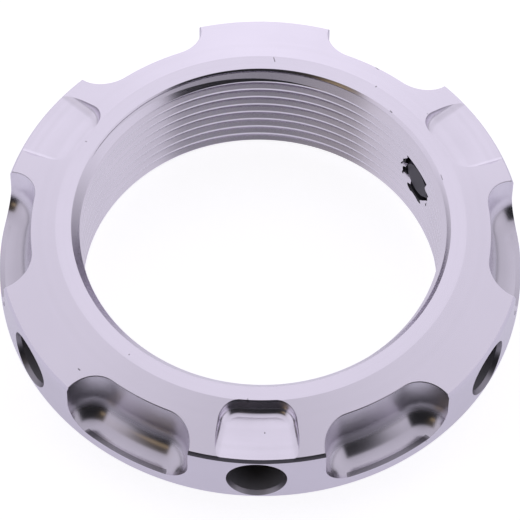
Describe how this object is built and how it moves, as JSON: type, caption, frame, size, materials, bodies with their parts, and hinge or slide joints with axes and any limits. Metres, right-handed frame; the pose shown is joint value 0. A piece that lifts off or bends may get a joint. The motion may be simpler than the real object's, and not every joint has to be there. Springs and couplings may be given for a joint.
{
  "type": "spring preload ring",
  "caption": "Threaded aluminium ring with a bevelled face, spanner notches and pin holes, a spring spigot under it and a set screw that locks it.",
  "frame": {"origin": "centre of the thread axis at the lower end of the spigot", "axes": "+Z along the thread axis, towards the flat land at the mouth of the bore; +X through the middle of a spanner notch, with the locking screw's lobe 30 degrees on from it, anticlockwise seen from above"},
  "size_m": [0.079, 0.079, 0.0187],
  "materials": {
    "ring": "bright satin, machined, clear",
    "screw": "black oxide"
  },
  "bodies": {
    "root": {"preload_ring": "ring", "locking_screw": "screw"}
  },
  "joints": []
}
